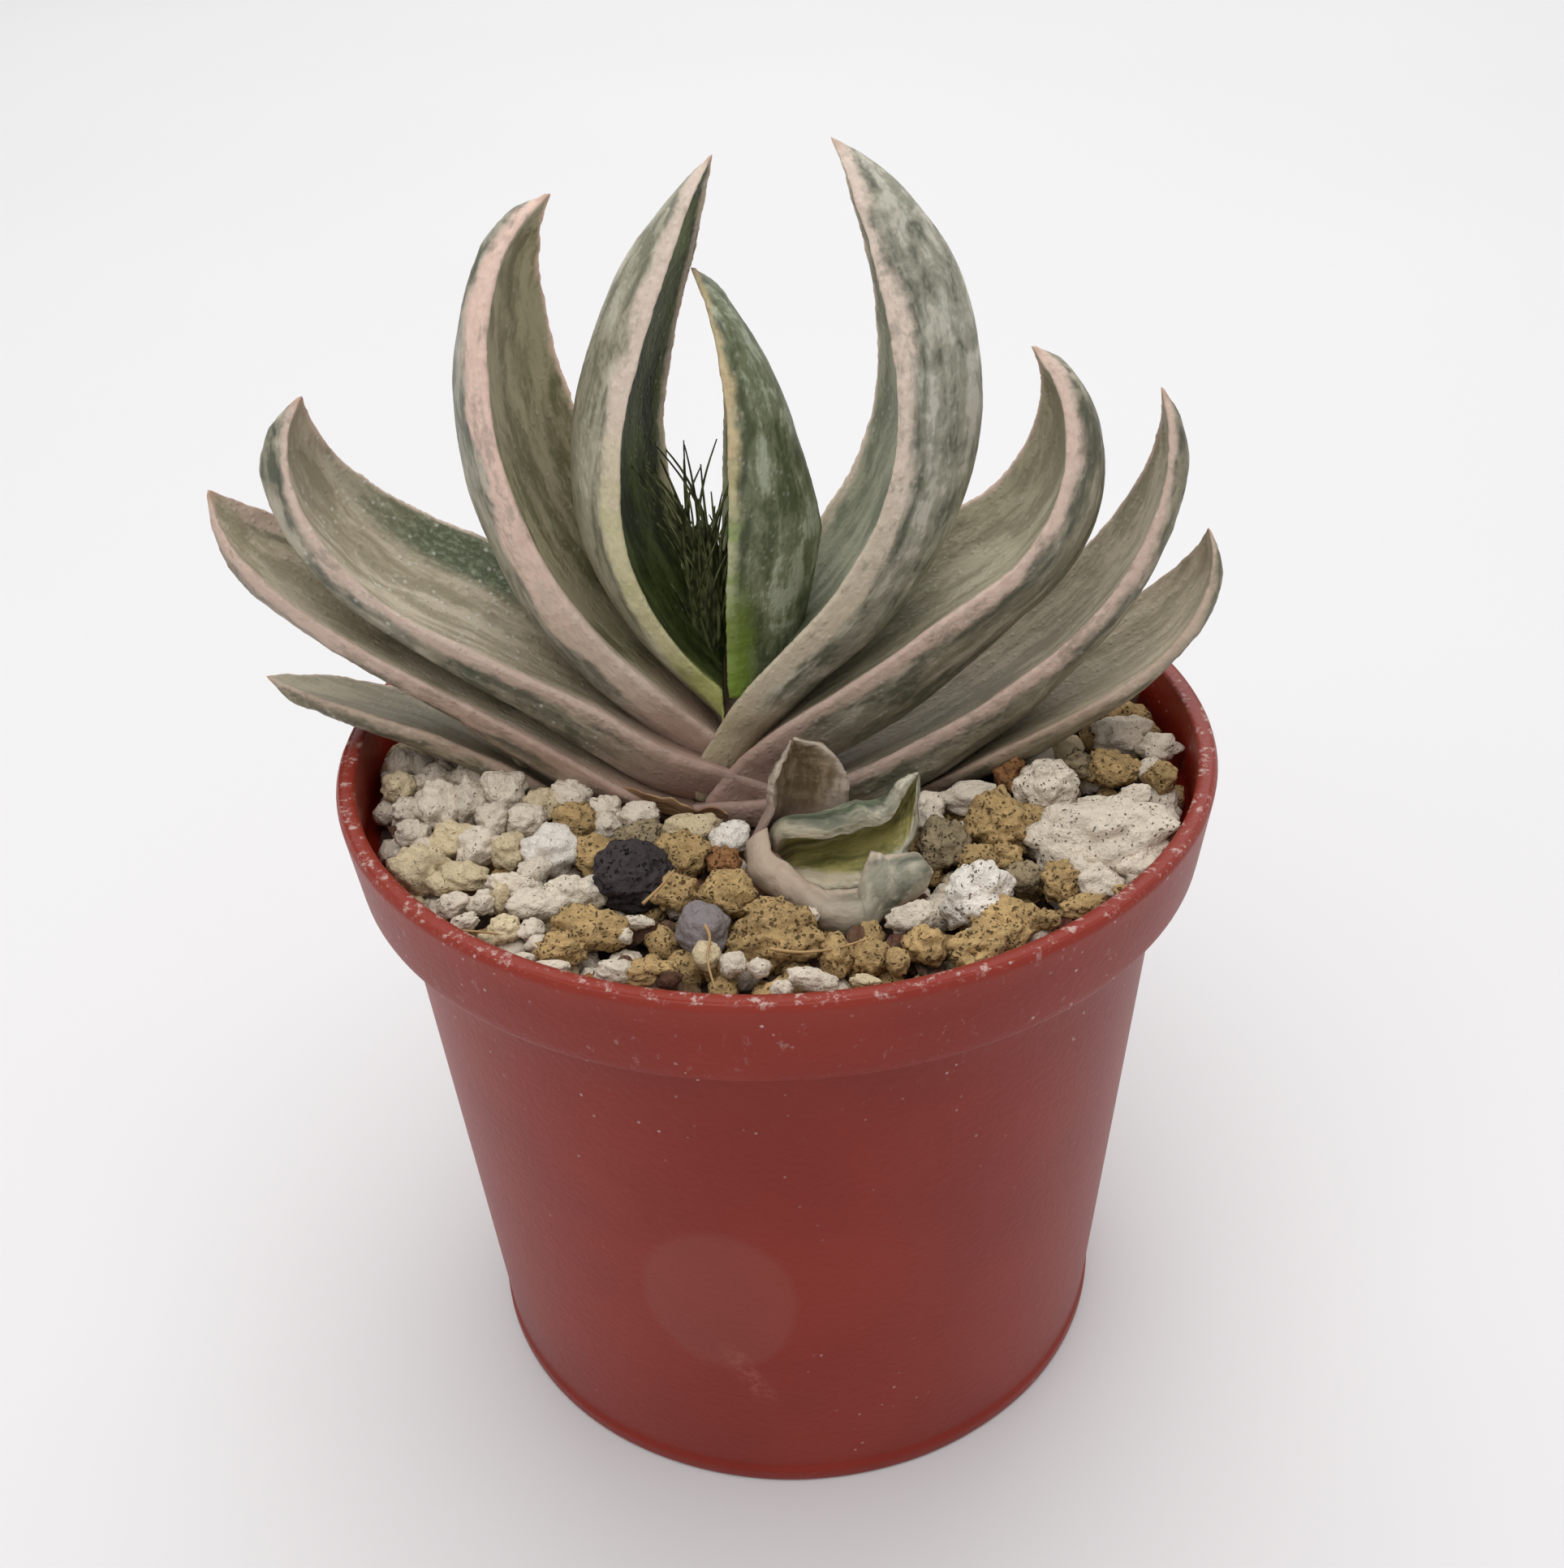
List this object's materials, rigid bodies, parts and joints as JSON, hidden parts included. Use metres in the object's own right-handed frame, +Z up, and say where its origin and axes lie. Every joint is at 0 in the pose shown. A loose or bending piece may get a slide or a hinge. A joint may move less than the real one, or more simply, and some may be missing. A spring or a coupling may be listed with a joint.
{
  "type": "potted gasteria",
  "caption": "Fan-shaped succulent with thick mottled leaves and a small side shoot, rooted in grit that fills a round plastic nursery pot with a collar rim.",
  "frame": {"origin": "centre of the flat underside of the pot, on the pot's axis", "axes": "+Z up along the pot's axis, +X to the right along the fan of leaves, +Y away from the viewer, who faces the side with the small shoot"},
  "size_m": [0.0946, 0.085, 0.1255],
  "materials": {
    "brick_red_plastic": "thin moulded pot plastic with a soft sheen",
    "bark_soil": "moist dark bark compost",
    "grey_green_leaf": "thick succulent skin, waxy satin, mottled",
    "pale_stem": "pale pinkish stem tissue, matt",
    "olive_fibre": "frayed dry fibres, matt",
    "dry_sheath": "thin brown papery scrap, matt",
    "white_pumice": "rough and porous, matt",
    "tan_grit": "rough baked clay grit, matt",
    "dark_lava": "porous lava rock, matt",
    "grey_purple_stone": "smooth dense stone, satin"
  },
  "bodies": {
    "root": {"dried_sheath": "dry_sheath", "lava_stone": "dark_lava", "leaf_left_1": "grey_green_leaf", "leaf_left_2": "grey_green_leaf", "leaf_left_3": "grey_green_leaf", "leaf_left_4": "grey_green_leaf", "leaf_left_5": "grey_green_leaf", "leaf_right_1": "grey_green_leaf", "leaf_right_2": "grey_green_leaf", "leaf_right_3": "grey_green_leaf", "leaf_right_4": "grey_green_leaf", "leaf_right_5": "grey_green_leaf", "pot": "brick_red_plastic", "pumice_bed": "white_pumice", "pumice_stone_1": "white_pumice", "pumice_stone_2": "white_pumice", "pumice_stone_3": "white_pumice", "purple_stone": "grey_purple_stone", "shoot_leaf_1": "grey_green_leaf", "shoot_leaf_2": "grey_green_leaf", "shoot_leaf_3": "grey_green_leaf", "shoot_stem": "pale_stem", "soil": "bark_soil", "spent_flower_stalk": "olive_fibre", "stem": "pale_stem", "tan_bed": "tan_grit", "tan_stone_1": "tan_grit", "tan_stone_2": "tan_grit", "tan_stone_3": "tan_grit"}
  },
  "joints": []
}
